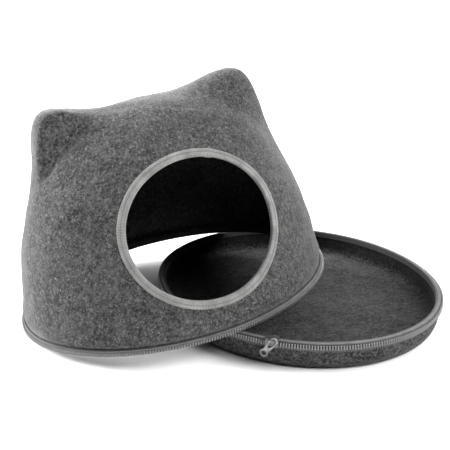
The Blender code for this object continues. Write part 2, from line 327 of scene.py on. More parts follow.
@dataclass(frozen=True)
class TapeFinish:
    """Woven tape with fine ribs across it; where given, a stitched line, a groove and a band of painted
    shade.

    `stitch_at`, `groove` and `painted_shade_from` are distances across the tape from its first edge. The
    groove is darkened as a painted shadow, and from `painted_shade_from` to the far edge the tape is
    darkened as painted shade, behind the zip's teeth and on the binding's inner side.
    """

    name: str
    dark: Colour = (0.050, 0.049, 0.0475)
    light: Colour = (0.25, 0.247, 0.241)
    rib: float = 1.7 * MM
    rib_depth: float = 0.26
    thread: float = 0.7 * MM
    soft: float = 0.3 * MM
    painted_shade_from: float = 0.0
    groove: float = 0.0
    stitch_at: float = 0.0
    stitch_wide: float = 0.5 * MM

    def build(self) -> bpy.types.Material:
        """Make the material.

        Returns:
            The material.
        """
        g = Graph(self.name)
        along, across = g.along_across()
        place = g.place()
        ribs = (along * (2.0 * math.pi / self.rib)).sine() * 0.5 + 0.5
        threads = (across * (2.0 * math.pi / self.thread)).sine() * 0.5 + 0.5
        fuzz = g.noise(place, 900.0, 3.0, 0.7, 0.5)
        wear = g.noise(place, 60.0, 2.0, 0.5)
        tone = ribs * self.rib_depth + threads * 0.08 + fuzz * 0.52 + (wear - 0.5) * 0.5 + 0.06
        colour = g.mix(tone.step(0.15, 0.85), self.dark, self.light)
        height = ribs * 0.6 + threads * 0.2 + fuzz * 0.35
        if self.stitch_at:
            off = g.node("ShaderNodeMath", {"operation": "ABSOLUTE"}, {0: across - self.stitch_at})
            line = 1.0 - off.step(0.0, 2.4 * self.stitch_wide)
            colour = g.mix(line * 0.55, colour, self.dark)
            height = height - line * 1.2
        # The groove is sunk in the bump and darkened as a painted shadow along the tape's edge under the
        # felt.
        if self.groove:
            sunk_with_painted_shadow = 1.0 - across.step(self.groove - 0.2 * MM, self.groove + 0.2 * MM)
            colour = g.mix(sunk_with_painted_shadow * 0.92, colour, tuple(0.3 * c for c in self.dark))
            height = height - sunk_with_painted_shadow * 2.0
        # Painted shade: from here to the far edge the tape is darkened for the shade behind the zip's teeth
        # and on the binding's inner side.
        if self.painted_shade_from:
            painted_shade_band = across.step(self.painted_shade_from - self.soft, self.painted_shade_from + self.soft)
            colour = g.mix(painted_shade_band * 0.9, colour, tuple(0.4 * c for c in self.dark))
        g.principled({
            "Base Color": colour,
            "Roughness": 0.85,
            "Specular IOR Level": 0.25,
            "Sheen Weight": 0.12,
            "Sheen Roughness": 0.5,
            "Normal": g.bump(height, 0.28 * MM, 0.9),
        })
        return g.material


@dataclass(frozen=True)
class ThreadFinish:
    """Sewing thread with a faint twist."""

    name: str
    colour: Colour = (0.17, 0.17, 0.17)

    def build(self) -> bpy.types.Material:
        """Make the material.

        Returns:
            The material.
        """
        g = Graph(self.name)
        twist = g.noise(g.place(), 2600.0, 1.0)
        dark = tuple(0.45 * c for c in self.colour)
        g.principled({"Base Color": g.mix(twist.step(0.35, 0.65), dark, self.colour), "Roughness": 0.6})
        return g.material


@dataclass(frozen=True)
class ToothFinish:
    """Moulded grey zip teeth with a slight gloss and worn edges."""

    name: str
    colour: Colour = (0.20, 0.198, 0.196)

    def build(self) -> bpy.types.Material:
        """Make the material.

        Returns:
            The material.
        """
        g = Graph(self.name)
        place = g.place()
        grain = g.noise(place, 700.0, 3.0, 0.6)
        dark = tuple(0.6 * c for c in self.colour)
        g.principled({
            "Base Color": g.mix(grain.step(0.3, 0.7), dark, self.colour),
            "Roughness": grain * 0.25 + 0.32,
            "Normal": g.bump(grain, 0.05 * MM),
        })
        return g.material


@dataclass(frozen=True)
class MetalFinish:
    """Plated casting in a dull grey, with soft scratches and smears."""

    name: str
    colour: Colour

    def build(self) -> bpy.types.Material:
        """Make the material.

        Returns:
            The material.
        """
        g = Graph(self.name)
        place = g.place()
        smear = g.noise(place, 240.0, 4.0, 0.6)
        scratch = g.noise(g.stretched(place, (2400.0, 300.0, 300.0), (0.4, 0.2, 0.8)), 1.0, 2.0, 0.6)
        tone = g.mix(smear.step(0.35, 0.65), tuple(0.6 * c for c in self.colour), self.colour)
        g.principled({
            "Base Color": tone,
            "Metallic": 1.0,
            "Roughness": smear * 0.22 + scratch * 0.12 + 0.20,
            "Normal": g.bump(smear * 0.6 + scratch * 0.4, 0.06 * MM, 0.7),
        })
        return g.material


@dataclass(frozen=True)
class FloorFinish:
    """Plain white studio floor."""

    name: str
    colour: Colour = (0.86, 0.86, 0.86)

    def build(self) -> bpy.types.Material:
        """Make the material.

        Returns:
            The material.
        """
        g = Graph(self.name)
        g.principled({"Base Color": self.colour, "Roughness": 0.9, "Specular IOR Level": 0.1})
        return g.material


class Finish(Enum):
    """The finishes of the cave's pieces, and the record's slot of each."""

    FELT = "felt"
    BINDING = "ribbed_binding"
    TAPE = "zip_tape"
    TEETH = "zip_teeth"
    METAL = "zip_metal"


# ---------------------------------------------------------------- making meshes


def deselect() -> None:
    """Leave nothing selected or active."""
    if bpy.context.object is not None and bpy.context.object.mode != "OBJECT":
        bpy.ops.object.mode_set(mode="OBJECT")
    bpy.ops.object.select_all(action="DESELECT")
    bpy.context.view_layer.objects.active = None


def make_active(piece: bpy.types.Object) -> None:
    """Select one object alone and make it active.

    Args:
        piece: the object.
    """
    deselect()
    piece.select_set(True)
    bpy.context.view_layer.objects.active = piece


def apply_modifiers(piece: bpy.types.Object) -> None:
    """Apply all of an object's modifiers in order.

    Args:
        piece: the object.
    """
    make_active(piece)
    for name in [m.name for m in piece.modifiers]:
        bpy.ops.object.modifier_apply(modifier=name)


def link(name: str, mesh: bpy.types.Mesh) -> bpy.types.Object:
    """Put a mesh in the scene as an object at the origin.

    Args:
        name: the object's name.
        mesh: its mesh.

    Returns:
        The object.
    """
    piece = bpy.data.objects.new(name, mesh)
    bpy.context.scene.collection.objects.link(piece)
    return piece


def finish_piece(piece: bpy.types.Object, slot: Finish, material: bpy.types.Material, *nodes: str) -> None:
    """Give a piece its finish and body, and hide the solids that it stands for.

    Args:
        piece: the finished piece.
        slot: the record's slot of its finish; not used.
        material: its material.
        nodes: the solids that it replaces, if any.
    """
    piece.data.materials.clear()
    piece.data.materials.append(material)
    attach(piece, BODY)
    if nodes:
        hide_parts(*nodes)
    LOG.info("%s: %d triangles", piece.name, sum(len(p.vertices) - 2 for p in piece.data.polygons))


def ring_sheet(name: str, points: Array, turned: bool = False) -> bpy.types.Object:
    """Skin rows of points that run round and close on themselves.

    Args:
        name: the piece's name.
        points: rows, columns and coordinates; each row is a closed ring.
        turned: whether the faces point the other way.

    Returns:
        An open sheet with a UV map in metres, along the rings and across them.
    """
    rows, columns, _ = points.shape
    number = np.arange(rows * columns).reshape(rows, columns)
    following = np.roll(number, -1, axis=1)
    quads = np.stack([number[:-1], following[:-1], following[1:], number[1:]], -1).reshape(-1, 4)
    steps = np.linalg.norm(np.roll(points, -1, axis=1) - points, axis=2).mean(axis=0)
    along = np.concatenate([[0.0], np.cumsum(steps)])
    across = np.concatenate([[0.0], np.cumsum(np.linalg.norm(np.diff(points, axis=0), axis=2).mean(axis=1))])
    (near, low), (far, high) = np.meshgrid(along[:-1], across[:-1]), np.meshgrid(along[1:], across[1:])
    corners = [(near, low), (far, low), (far, high), (near, high)]
    corners = np.stack([np.stack(corner, -1) for corner in corners], axis=2).reshape(-1, 4, 2)
    if turned:
        quads, corners = quads[:, ::-1], corners[:, ::-1]
    mesh = bpy.data.meshes.new(name)
    mesh.from_pydata(points.reshape(-1, 3).tolist(), [], quads.tolist())
    layer = mesh.uv_layers.new(name="strip")
    layer.data.foreach_set("uv", corners.reshape(-1).astype(np.float32))
    mesh.shade_smooth()
    return link(name, mesh)


def thicken(piece: bpy.types.Object, thickness: float, offset: float) -> None:
    """Give an open sheet its thickness, and apply it.

    Args:
        piece: the sheet.
        thickness: its thickness.
        offset: the side it grows on: 1 along the normals, -1 against them.
    """
    shell = piece.modifiers.new("thickness", "SOLIDIFY")
    shell.thickness = thickness
    shell.offset = offset
    shell.use_even_offset = True
    shell.use_quality_normals = True
    apply_modifiers(piece)


def close_ring(piece: bpy.types.Object, near: Vector, within: float) -> None:
    """Close the open ring of a sheet that lies near a place, with a fan to its middle.

    Args:
        piece: the sheet.
        near: the place.
        within: how near the ring lies.
    """
    bm = bmesh.new()
    bm.from_mesh(piece.data)
    ring = [e for e in bm.edges if e.is_boundary and (e.verts[0].co - near).length < within]
    point = bm.verts.new(sum((e.verts[0].co for e in ring), Vector()) / len(ring))
    for edge in ring:
        loop = edge.link_loops[0]
        bm.faces.new((edge.other_vert(loop.vert), loop.vert, point)).smooth = True
    bm.to_mesh(piece.data)
    bm.free()


def add_block(size: tuple[float, float, float], centre: tuple[float, float, float]) -> bpy.types.Object:
    """A block to be shaped further.

    Args:
        size: its size along each axis.
        centre: where its middle lies.

    Returns:
        The block.
    """
    deselect()
    bpy.ops.mesh.primitive_cube_add(size=1.0)
    made = bpy.context.object
    made.data.transform(Matrix.Translation(centre) @ Matrix.Diagonal((*size, 1.0)))
    return made


def subdivide(piece: bpy.types.Object, cuts: int) -> None:
    """Cut each edge of a piece evenly.

    Args:
        piece: the piece.
        cuts: how many times each edge is cut.
    """
    make_active(piece)
    bpy.ops.object.mode_set(mode="EDIT")
    bpy.ops.mesh.select_all(action="SELECT")
    bpy.ops.mesh.subdivide(number_cuts=cuts)
    bpy.ops.object.mode_set(mode="OBJECT")


def bevel(piece: bpy.types.Object, width: float, segments: int) -> None:
    """Round off a piece's sharp edges.

    Args:
        piece: the piece.
        width: how wide the rounding is.
        segments: how many strips it has.
    """
    edge = piece.modifiers.new("edge", "BEVEL")
    edge.width = width
    edge.segments = segments
    edge.limit_method = "ANGLE"
    edge.angle_limit = math.radians(50.0)
    apply_modifiers(piece)


def combine(piece: bpy.types.Object, other: bpy.types.Object, operation: str) -> None:
    """Cut a piece with another, or join it on; the other is then removed.

    Args:
        piece: the piece that stays.
        other: the one that cuts it or joins it.
        operation: the Boolean modifier's operation.
    """
    made = piece.modifiers.new("combine", "BOOLEAN")
    made.operation = operation
    made.solver = "EXACT"
    made.object = other
    apply_modifiers(piece)
    bpy.data.objects.remove(other, do_unlink=True)


def set_shade(piece: bpy.types.Object, shade: Array) -> None:
    """Store painted shade at each vertex, the share of the felt's colour left where shade falls, for its
    finish to read.
    """
    layer = piece.data.attributes.new("shade", "FLOAT", "POINT")
    layer.data.foreach_set("value", shade.astype(np.float32))


def smooth_by_angle(piece: bpy.types.Object, degrees: float) -> None:
    """Shade smooth but for edges sharper than an angle."""
    make_active(piece)
    bpy.ops.object.shade_smooth_by_angle(angle=math.radians(degrees))


def repeated(name: str, master: bpy.types.Object, frames: Array) -> bpy.types.Object:
    """Copy a small piece's mesh to many frames, as one joined mesh.

    Args:
        name: the new piece's name.
        master: the small piece, modelled round the origin; it is removed.
        frames: one 4 by 4 matrix for each copy.

    Returns:
        The joined piece.
    """
    mesh = master.data
    base = np.array([v.co for v in mesh.vertices])
    faces = [tuple(p.vertices) for p in mesh.polygons]
    placed = np.einsum("nij,vj->nvi", frames[:, :3, :3], base) + frames[:, None, :3, 3]
    joined = bpy.data.meshes.new(name)
    every = [tuple(v + k * len(base) for v in face) for k in range(len(frames)) for face in faces]
    joined.from_pydata(placed.reshape(-1, 3).tolist(), [], every)
    joined.shade_smooth()
    bpy.data.objects.remove(master, do_unlink=True)
    made = link(name, joined)
    smooth_by_angle(made, 50.0)
    return made


def frames_along(points: Array, ahead: Array, outward: Array) -> Array:
    """Frames on a path: X ahead, Y outward, Z across.

    Args:
        points: where each frame stands.
        ahead: the way along the path at each.
        outward: roughly outward at each.

    Returns:
        One 4 by 4 matrix for each point.
    """
    x = ahead / np.linalg.norm(ahead, axis=1, keepdims=True)
    z = np.cross(x, outward)
    z /= np.linalg.norm(z, axis=1, keepdims=True)
    y = np.cross(z, x)
    made = np.zeros((len(points), 4, 4))
    made[:, :3, 0], made[:, :3, 1], made[:, :3, 2], made[:, :3, 3] = x, y, z, points
    made[:, 3, 3] = 1.0
    return made


def grid_normals(points: Array) -> Array:
    """Unit normals of rows of points that close round.

    Args:
        points: rows, columns and coordinates.

    Returns:
        A normal for each point, pointing out where the rows run up.
    """
    around = np.roll(points, -1, axis=1) - np.roll(points, 1, axis=1)
    up = np.gradient(points, axis=0)
    normal = np.cross(around, up)
    length = np.linalg.norm(normal, axis=2, keepdims=True)
    return normal / np.maximum(length, 1e-12)


def even_turn(count: int) -> Array:
    """Evenly spaced angles of one full turn."""
    return np.linspace(0.0, 2.0 * math.pi, count, endpoint=False)


def closed_length(curve: Array) -> float:
    """Length of a closed curve through its points."""
    return float(np.linalg.norm(np.roll(curve, -1, axis=0) - curve, axis=1).sum())


def moved(points: Array, pose: Matrix) -> Array:
    """Points of a frame, brought to where its pose puts them."""
    table = np.array(pose)
    return points @ table[:3, :3].T + table[:3, 3]


def flipped(frames: Array) -> Array:
    """Frames turned half way round Y, so that Z points the other way."""
    return frames * np.array([-1.0, 1.0, -1.0, 1.0])


def upright(frames: Array) -> Array:
    """Frames with Z pointing up, turned half way round Y where it points down."""
    return np.where(frames[:, 2:3, 2:3] < 0.0, flipped(frames), frames)


def even_azimuths(curve: Array, count: int) -> Array:
    """Azimuths that divide a closed curve evenly by its length.

    Args:
        curve: points of the closed curve at evenly spaced azimuths.
        count: how many azimuths to return.

    Returns:
        The azimuths, in radians.
    """
    steps = np.linalg.norm(np.roll(curve, -1, axis=0) - curve, axis=1)
    run = np.concatenate([[0.0], np.cumsum(steps)])
    spread = np.linspace(0.0, 2.0 * math.pi, len(curve) + 1)
    return np.interp(np.arange(count) * run[-1] / count, run, spread)


# ---------------------------------------------------------------- the cave's form


@dataclass(frozen=True)
class Oval:
    """The oval that the cover's hem and the tray's rim share, turned about the vertical."""

    turn: float
    long: float = 205.0 * MM
    short: float = 178.4 * MM
    waver: float = 0.0
    waver_at: float = 0.0

    def edge(self, azimuth: Array) -> tuple[Array, Array]:
        """The oval's point along each azimuth, and the way straight out there.

        Args:
            azimuth: azimuths in radians.

        Returns:
            Points and unit vectors, each with Z = 0.
        """
        own = azimuth - self.turn
        reach = self.long * self.short / np.hypot(self.short * np.cos(own), self.long * np.sin(own))
        reach = reach + self.waver * np.cos(3.0 * (azimuth - self.waver_at))
        out = self.turn + np.arctan2(np.sin(own) / self.short**2, np.cos(own) / self.long**2)
        zero = np.zeros_like(reach)
        point = np.stack([reach * np.cos(azimuth), reach * np.sin(azimuth), zero], -1)
        return point, np.stack([np.cos(out), np.sin(out), zero], -1)


@dataclass(frozen=True)
class Dents:
    """Broad soft unevenness of moulded felt, the same each run."""

    seed: int
    depth: float
    length: float
    waves: int = 16

    def at(self, points: Array) -> Array:
        """How far the felt stands proud at each point.

        Args:
            points: the points.

        Returns:
            The height at each.
        """
        source = np.random.default_rng(self.seed)
        total = np.zeros(points.shape[:-1])
        for _ in range(self.waves):
            way = source.normal(size=3)
            way *= 2.0 * math.pi / (np.linalg.norm(way) * self.length * source.uniform(0.7, 1.6))
            total += np.sin(points @ way + source.uniform(0.0, 2.0 * math.pi))
        return self.depth * total / math.sqrt(self.waves)


@dataclass(frozen=True)
class Ear:
    """One ear's swell in the cover's own frame, with its flatter front face and the crease at its foot.

    The left ear's sizes are the defaults. Ahead of the ear's middle, its face runs from the rim down to
    the foot. `rim` is the rim's share of the way to the foot, `rim_round` and `foot_round` are larger
    for a sharper turn, and beyond `face_half` to each side the face gives way to a soft swell.
    """

    side: float
    x: float = 156.1 * MM
    y: float = 24.0 * MM
    z: float = 303.5 * MM
    aim: tuple[float, float, float] = (0.488, 0.05, 0.873)
    rise: float = 45.4 * MM
    wide: float = 46.9 * MM
    back: float = 70.0 * MM
    ridge: float = 140.0 * MM
    rim: float = 0.78
    foot: float = 42.0 * MM
    foot_side: float = 33.0 * MM
    foot_wide: float = 55.0 * MM
    rim_round: float = 4.5
    foot_round: float = 8.0
    shelf: float = 0.18
    shelf_long: float = 65.0 * MM
    dip: float = 0.6 * MM
    dip_wide: float = 4.0 * MM
    middle: float = -8.0 * MM
    face_half: tuple[float, float] = (30.0 * MM, 56.0 * MM)
    soft_long: float = 44.0 * MM

    def raise_on(self, points: Array) -> Array:
        """Push a surface out into the ear.

        Args:
            points: points of the surface.

        Returns:
            The points after the push.
        """
        aim = np.array([self.side * self.aim[0], self.aim[1], self.aim[2]])
        aim /= np.linalg.norm(aim)
        across = np.array([-self.side * aim[2], 0.0, self.side * aim[0]])
        across /= np.linalg.norm(across)
        away = points - np.array([self.side * self.x, self.y, self.z])
        sideways, ahead = away @ across, -away[..., 1]
        foot = self.foot_side + (self.foot - self.foot_side) * np.exp(-((sideways / self.foot_wide) ** 2))
        face = self.front(ahead, foot)
        face = (1.0 - self.shelf) * face + self.shelf * np.exp(-((ahead / self.shelf_long) ** 2))
        face -= self.dip / self.rise * np.exp(-(((ahead - foot) / self.dip_wide) ** 2))
        near, far = self.face_half
        ease = np.clip((np.abs(sideways - self.middle) - near) / (far - near), 0.0, 1.0)
        ease = ease * ease * (3.0 - 2.0 * ease)
        soft = np.exp(-((ahead / np.where(ahead > 0.0, self.soft_long, self.back)) ** 2))
        profile = face * (1.0 - ease) + soft * ease
        spread = np.exp(-((sideways / self.wide) ** 2))
        return points + (self.rise * profile * spread)[..., None] * aim

    def front(self, ahead: Array, foot: Array) -> Array:
        """The ear's profile from its soft back, round the rim and down the front to 0 at the foot.

        Args:
            ahead: how far ahead of the ear's middle each point is.
            foot: how far ahead the foot is there.

        Returns:
            The height at each point, as a share of the rise.
        """
        share = (foot - ahead) / (foot * (1.0 - self.rim))
        slope = np.logaddexp(0.0, self.foot_round * share) / self.foot_round
        crest = np.exp(-(np.abs(ahead / np.where(ahead > 0.0, self.ridge, self.back)) ** 2.4))
        return crest * (1.0 - np.logaddexp(0.0, self.rim_round * (1.0 - slope)) / self.rim_round)


@dataclass(frozen=True)
class CoverForm:
    """The cover's outer face: an oval hem that narrows to a rounded crown with two ears.

    `narrow`, `rounding` and `crown_at` are given along X and along Y. The hem band leans out by
    `lean_mean`, and by `lean_swing` more in front and behind; the lean fades out over the lowest
    `lean_fade` of the face. `tilt` and `lifted_side` set the cover down with one side raised.
    """

    oval: Oval = Oval(math.radians(8.0))
    band: float = 14.0 * MM
    crown: float = 253.0 * MM
    narrow: tuple[float, float] = (0.28, 0.21)
    narrow_power: float = 1.3
    rounding: tuple[float, float] = (4.44, 2.48)
    crown_at: tuple[float, float] = (4.0 * MM, 11.7 * MM)
    ears: tuple[Ear, Ear] = (
        Ear(-1.0),
        Ear(
            1.0, x=172.9 * MM, y=22.0 * MM, aim=(0.520, 0.05, 0.854), rise=54.9 * MM, wide=53.8 * MM,
            rim=0.3, foot=52.0 * MM, foot_side=44.0 * MM, back=48.0 * MM, ridge=80.0 * MM, rim_round=4.0,
            foot_round=4.0, shelf=0.10,
        ),
    )
    lean_mean: float = math.radians(6.3)
    lean_swing: float = math.radians(13.8)
    lean_front: float = math.radians(-110.0)
    lean_fade: float = 0.22
    tilt: float = math.radians(7.84)
    lifted_side: float = math.radians(4.5)
    ear_line: float = math.radians(25.2)
    middle: tuple[float, float, float] = (-161.5 * MM, -10.4 * MM, 27.35 * MM)
    bind_out: float = 1.1 * MM

    def pose(self) -> Matrix:
        """Find where the upright cover is set down.

        Returns:
            Its pose in the scene.
        """
        return (
            Matrix.Translation(self.middle)
            @ Matrix.Rotation(self.lifted_side, 4, "Z")
            @ Matrix.Rotation(-self.tilt, 4, "Y")
            @ Matrix.Rotation(self.ear_line - self.lifted_side, 4, "Z")
        )

    def set_down(self, points: Array) -> Array:
        """Move points from the cover's own frame to where it lies."""
        return moved(points, self.pose())

    def hem_upright(self, azimuth: Array, out: Array, deep: Array) -> Array:
        """Points of the leaning hem band in the cover's own frame.

        Args:
            azimuth: azimuths in that frame.
            out: distance outside the felt's face.
            deep: distance up from the felt's edge.

        Returns:
            The points.
        """
        edge, outward = self.oval.edge(azimuth)
        lean = self.lean_mean + self.lean_swing * np.cos(2.0 * (azimuth - self.lean_front))
        sideways = out * np.cos(lean) + deep * np.sin(lean)
        upward = deep * np.cos(lean) - out * np.sin(lean)
        made = edge + outward * sideways[..., None]
        made[..., 2] += upward
        return made

    def floor_lift(self, azimuth: Array) -> Array:
        """How far the floor presses the hem up.

        Args:
            azimuth: azimuths in the cover's own frame.

        Returns:
            The lift at each.
        """
        low = np.full(azimuth.shape, -self.bind_out)
        lowest = np.minimum(
            self.set_down(self.hem_upright(azimuth, -low, low))[..., 2],
            self.set_down(self.hem_upright(azimuth, low - FELT, low))[..., 2],
        )
        return np.maximum(0.0, -lowest)

    def hem(self, azimuth: Array, out: Array, deep: Array) -> Array:
        """Points of the hem where the cover lies.

        Args:
            azimuth: azimuths in the cover's own frame.
            out: distance outside the felt's face.
            deep: distance up from the felt's edge.

        Returns:
            Points in the scene.
        """
        azimuth, out, deep = np.broadcast_arrays(azimuth, out, deep)
        made = self.set_down(self.hem_upright(azimuth, out, deep))
        made[..., 2] += self.floor_lift(azimuth)
        return made

    def wall(self, azimuth: Array, part: Array) -> Array:
        """Points of the face above the hem band.

        Args:
            azimuth: azimuths in the cover's own frame.
            part: how far up the face, from 0 at the band to 1 at the crown.

        Returns:
            Points in the scene.
        """
        azimuth, part = np.broadcast_arrays(azimuth, part)
        edge, _ = self.oval.edge(azimuth)
        rise = np.sin(part * math.pi / 2.0)
        made = np.empty(edge.shape)
        for axis in (0, 1):
            shrink = 1.0 - self.narrow[axis] * rise**self.narrow_power
            shrink = shrink * np.sqrt(np.maximum(0.0, 1.0 - rise ** self.rounding[axis]))
            made[..., axis] = edge[..., axis] * shrink + self.crown_at[axis] * rise
        made[..., 2] = self.band + (self.crown - self.band) * rise
        fade = np.maximum(0.0, 1.0 - part / self.lean_fade) ** 2
        top = np.full(azimuth.shape, self.band)
        leaned = self.hem_upright(azimuth, np.zeros_like(top), top) - edge
        leaned[..., 2] -= self.band
        made = made + leaned * fade[..., None]
        for ear in self.ears:
            made = ear.raise_on(made)
        made = self.set_down(made)
        made[..., 2] += self.floor_lift(azimuth) * fade
        return made


@dataclass(frozen=True)
class TrayForm:
    """The tray's oval and rim."""

    oval: Oval = Oval(math.radians(-63.6))
    rim: float = 34.0 * MM

    def at(self, azimuth: Array, out: Array, up: Array) -> Array:
        """Points round the tray.

        Args:
            azimuth: azimuths.
            out: distance outside the rim's oval.
            up: height above the floor.

        Returns:
            Points in the scene.
        """
        azimuth, out, up = np.broadcast_arrays(azimuth, out, up)
        edge, outward = self.oval.edge(azimuth)
        made = edge + outward * out[..., None]
        made[..., 2] += up
        return made

    def edge(self, azimuth: Array, out: Array, deep: Array) -> Array:
        """Points at the rim, by their depth from the felt's edge."""
        return self.at(azimuth, out, self.rim - deep)


def path_columns(path: Path) -> tuple[Array, Array]:
    """Split a section's path in mm into two columns in metres."""
    table = np.array(path) * MM
    return table[:, 0][:, None], table[:, 1][:, None]


def rounded_path(path: Path, rounds: int) -> list[tuple[float, float]]:
    """Round an open path by cutting its corners.

    Args:
        path: its points.
        rounds: how many times the corners are cut.

    Returns:
        The rounded path, with the same ends.
    """
    points = [tuple(p) for p in path]
    for _ in range(rounds):
        cut = [points[0]]
        for (ax, ay), (bx, by) in zip(points, points[1:]):
            for part in (0.25, 0.75):
                cut.append(((1.0 - part) * ax + part * bx, (1.0 - part) * ay + part * by))
        points = cut + [points[-1]]
    return points


# ---------------------------------------------------------------- what is sewn along an edge


BINDING_PATH = rounded_path([
    (0.15, 7.2), (0.15, 5.0), (0.15, 2.5), (0.2, -0.2), (-0.6, -0.3), (-2.2, -0.35), (-3.9, -0.3),
    (-4.75, -0.2), (-4.65, 2.5), (-4.65, 5.0), (-4.65, 7.0),
], 2)
HEM_TAPE_PATH = rounded_path([(0.05, 8.9), (0.35, 8.3), (1.0, 7.2), (1.2, 5.0), (1.2, 2.5), (1.2, 0.4)], 1)
RIM_TAPE_PATH = rounded_path([(0.15, 8.4), (0.45, 7.9), (1.1, 7.0), (1.2, 5.0), (1.2, 3.0), (1.2, 0.9)], 1)


@dataclass(frozen=True)
class ZipParts:
    """The small pieces of the zip and its seams, each modelled once."""

    pitch: float = 3.2 * MM
    tooth_long: float = 4.9 * MM
    tooth_wide: float = 1.75 * MM
    tooth_deep: float = 2.3 * MM
    waist: float = 0.78
    head: float = 0.8
    droop: float = 0.9

    def tooth(self) -> bpy.types.Object:
        """Model one tooth: a bevelled bar with a narrow waist and a thinner head.

        Returns:
            The tooth along Z.
        """
        made = add_block((self.tooth_wide, self.tooth_deep, self.tooth_long), (0.0, 0.0, 0.0))
        subdivide(made, 1)
        for vert in made.data.vertices:
            level = vert.co.z / self.tooth_long
            if abs(level) < 0.1:
                vert.co.x *= self.waist
            if level > 0.4:
                vert.co.y *= self.head
        bevel(made, 0.28 * MM, 1)
        return made

    def stitch(self, long: float, thick: float) -> bpy.types.Object:
        """One stitch: a short strand that dips into the cloth at both ends.

        Args:
            long: its length.
            thick: the thread's thickness.

        Returns:
            The stitch along X, with Y up from the cloth.
        """
        deselect()
        bpy.ops.mesh.primitive_uv_sphere_add(segments=8, ring_count=6, radius=0.5)
        made = bpy.context.object
        made.data.transform(Matrix.Rotation(math.pi / 2.0, 4, "Y"))
        made.data.transform(Matrix.Diagonal((long, thick, thick, 1.0)))
        for vert in made.data.vertices:
            vert.co.y -= self.droop * thick * (2.0 * vert.co.x / long) ** 2
        return made


@dataclass(frozen=True)
class SewnEdge:
    """A felt edge that closes on itself, with the binding, the half zip and the seam along it.

    `place` gives points on the edge from an azimuth, a distance out and a depth from the edge.
    """

    part: str
    line: str
    place: Callable[..., Array]
    turned: bool
    tape_path: Path
    tooth_deep: float
    teeth_down: bool
    stitch: tuple[float, float]
    seam: tuple[float, float, float]
    thread: str
    columns: int = 320
    binding_thick: float = 0.8 * MM
    tape_thick: float = 0.7 * MM
    tooth_out: float = 2.9 * MM

    def strip(self, name: str, path: Path, thickness: float) -> bpy.types.Object:
        """A strip along the edge.

        Args:
            name: its name.
            path: its section in mm, as how far out and how deep it runs.
            thickness: its thickness.

        Returns:
            The closed strip.
        """
        out, deep = path_columns(path)
        made = ring_sheet(name, self.place(even_turn(self.columns)[None, :], out, deep), self.turned)
        thicken(made, thickness, 1.0)
        return made

    def length(self) -> float:
        """Length of the edge."""
        return closed_length(self.place(even_turn(720), 0.0, 0.0))

    def frames(self, pitch: float, out: float, deep: float) -> Array:
        """Frames spaced evenly along the edge.

        Args:
            pitch: the space from one to the next.
            out: how far outside the felt they stand.
            deep: how deep from the edge.

        Returns:
            One 4 by 4 matrix for each, X ahead and Y outward.
        """
        azimuth = even_azimuths(self.place(even_turn(1440), 0.0, 0.0), round(self.length() / pitch))
        spots = self.place(azimuth, out, deep)
        past = self.place(azimuth, out + MM, deep)
        return frames_along(spots, np.roll(spots, -1, axis=0) - np.roll(spots, 1, axis=0), past - spots)

    def sew(self, finishes: dict[str, bpy.types.Material], parts: ZipParts) -> None:
        """Build the binding, the zip's tape and teeth, and the seam.

        Args:
            finishes: the materials by name.
            parts: the zip's small pieces.
        """
        around = self.length()
        binding = self.strip(f"{self.line}_tape", BINDING_PATH, self.binding_thick)
        finish_piece(binding, Finish.BINDING, finishes["edge_tape"], f"{self.part}_{self.line}_binding")
        tape = self.strip(f"{self.part}_zip_strip", self.tape_path, self.tape_thick)
        finish_piece(tape, Finish.TAPE, finishes[f"{self.line}_zip_tape"], f"{self.part}_zip_tape")

        frames = upright(self.frames(parts.pitch, self.tooth_out, self.tooth_deep))
        frames = flipped(frames) if self.teeth_down else frames
        teeth = repeated(f"{self.part}_tooth_row", parts.tooth(), frames)
        finish_piece(teeth, Finish.TEETH, finishes["teeth"], f"{self.part}_zip_teeth")
        seam = repeated(f"{self.line}_stitches", parts.stitch(*self.stitch), self.frames(*self.seam))
        finish_piece(seam, Finish.TAPE, finishes[self.thread])


# ---------------------------------------------------------------- the cover


